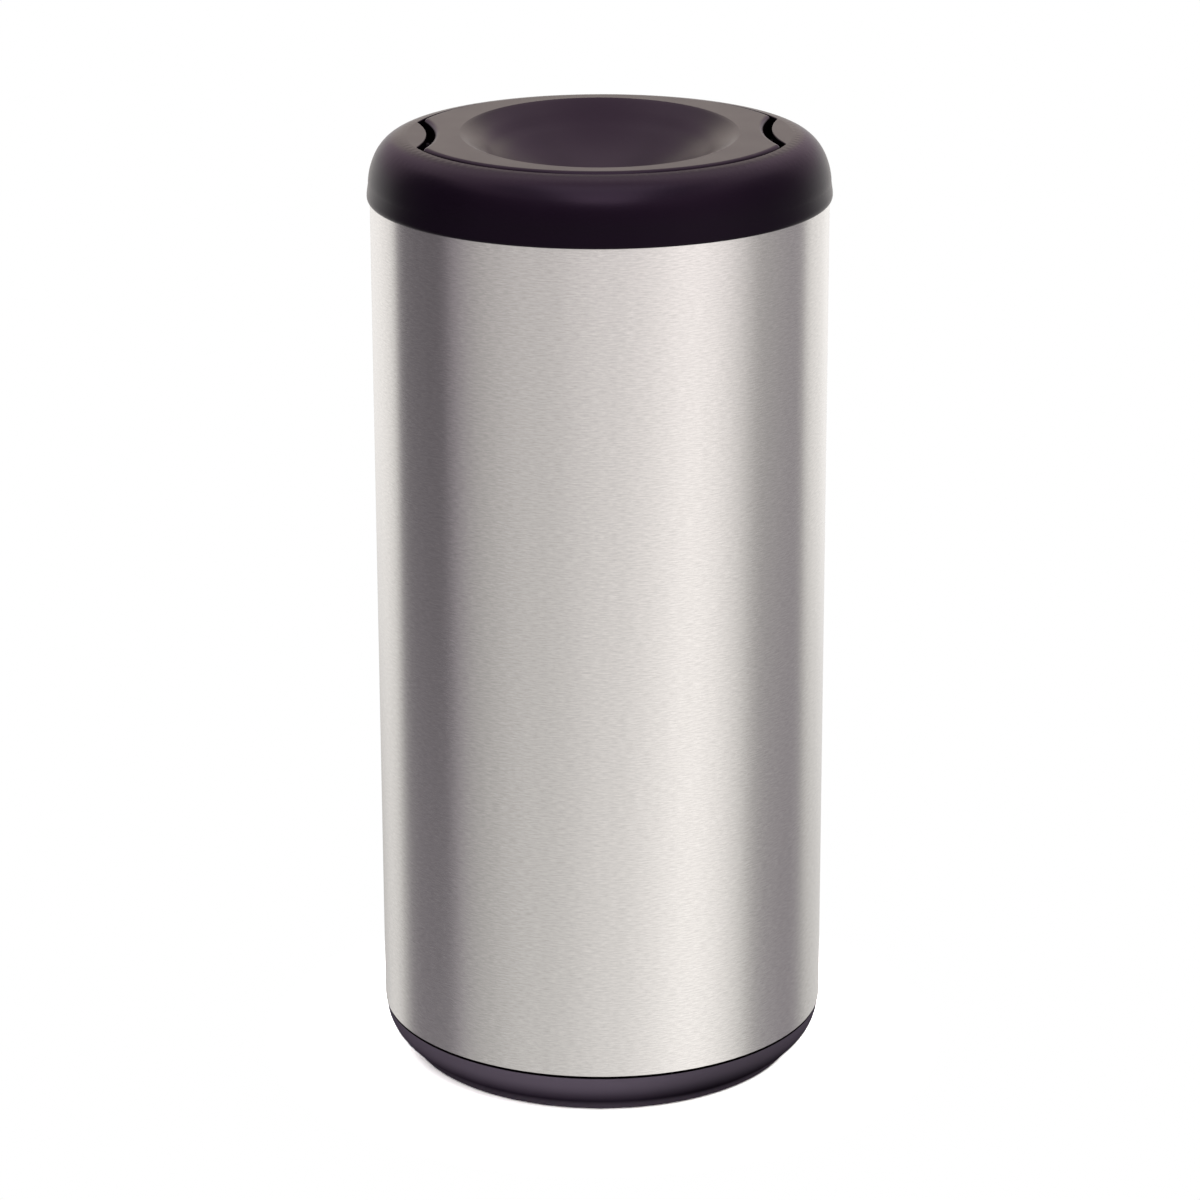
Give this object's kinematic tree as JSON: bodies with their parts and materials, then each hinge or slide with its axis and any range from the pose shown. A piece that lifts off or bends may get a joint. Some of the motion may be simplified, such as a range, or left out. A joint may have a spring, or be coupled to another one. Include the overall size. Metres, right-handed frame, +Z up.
{
  "type": "swing-lid trash can",
  "caption": "Round brushed-steel waste bin with a black base ring and a lift-off black collar whose dished lid swings both ways on side pivots and hangs level by its own weight.",
  "frame": {"origin": "on the floor at the centre of the base, between the anti-slip pads", "axes": "+Z up along the bin's axis, -Y the front that faces the viewer, X along the lid's swing axis with +X to the viewer's right"},
  "size_m": [0.324, 0.324, 0.6772],
  "materials": {
    "brushed_steel_shell": "fine brushing round the tube, satin",
    "black_plastic": "fine matt moulded texture",
    "grey_plastic": "plain moulded",
    "black_nylon": "plain moulded, slightly waxy",
    "black_rubber": "soft matt",
    "plain_steel": "bright zinc plating",
    "galvanised_steel": "dull galvanised"
  },
  "bodies": {
    "bin": {"steel_body": "brushed_steel_shell", "rim_wire": "plain_steel", "bottom_plate": "galvanised_steel", "base_ring": "black_plastic", "base_screws": "plain_steel", "anti_slip_pads": "black_rubber"},
    "bag_ring": {"bag_ring": "grey_plastic"},
    "collar": {"top_collar": "black_plastic", "pivot_bracket_left": "grey_plastic", "pivot_bracket_right": "grey_plastic", "pivot_bush_left": "black_nylon", "pivot_bush_right": "black_nylon", "bracket_screws": "plain_steel", "stop_bumpers": "black_rubber"},
    "lid": {"lid_top": "black_plastic", "lid_cover": "black_plastic", "lid_screws": "plain_steel", "counterweight": "galvanised_steel", "weight_screws": "plain_steel", "pivot_pin_left": "plain_steel", "pivot_pin_right": "plain_steel"}
  },
  "joints": [
    {"name": "collar_lift", "type": "slide", "parent": "bin", "child": "collar", "axis": [0, 0, 1], "range_m": [0, 0.15]},
    {"name": "bag_ring_lift", "type": "slide", "parent": "bin", "child": "bag_ring", "axis": [0, 0, 1], "range_m": [0, 0.06]},
    {"name": "lid_swing", "type": "hinge", "parent": "collar", "child": "lid", "pos_m": [0, 0, 0.664], "axis": [1, 0, 0], "range_deg": [-70, 70]}
  ],
  "couplings": [
    {"joint": "bag_ring_lift", "follows": "collar_lift", "ratio": 0.4}
  ]
}
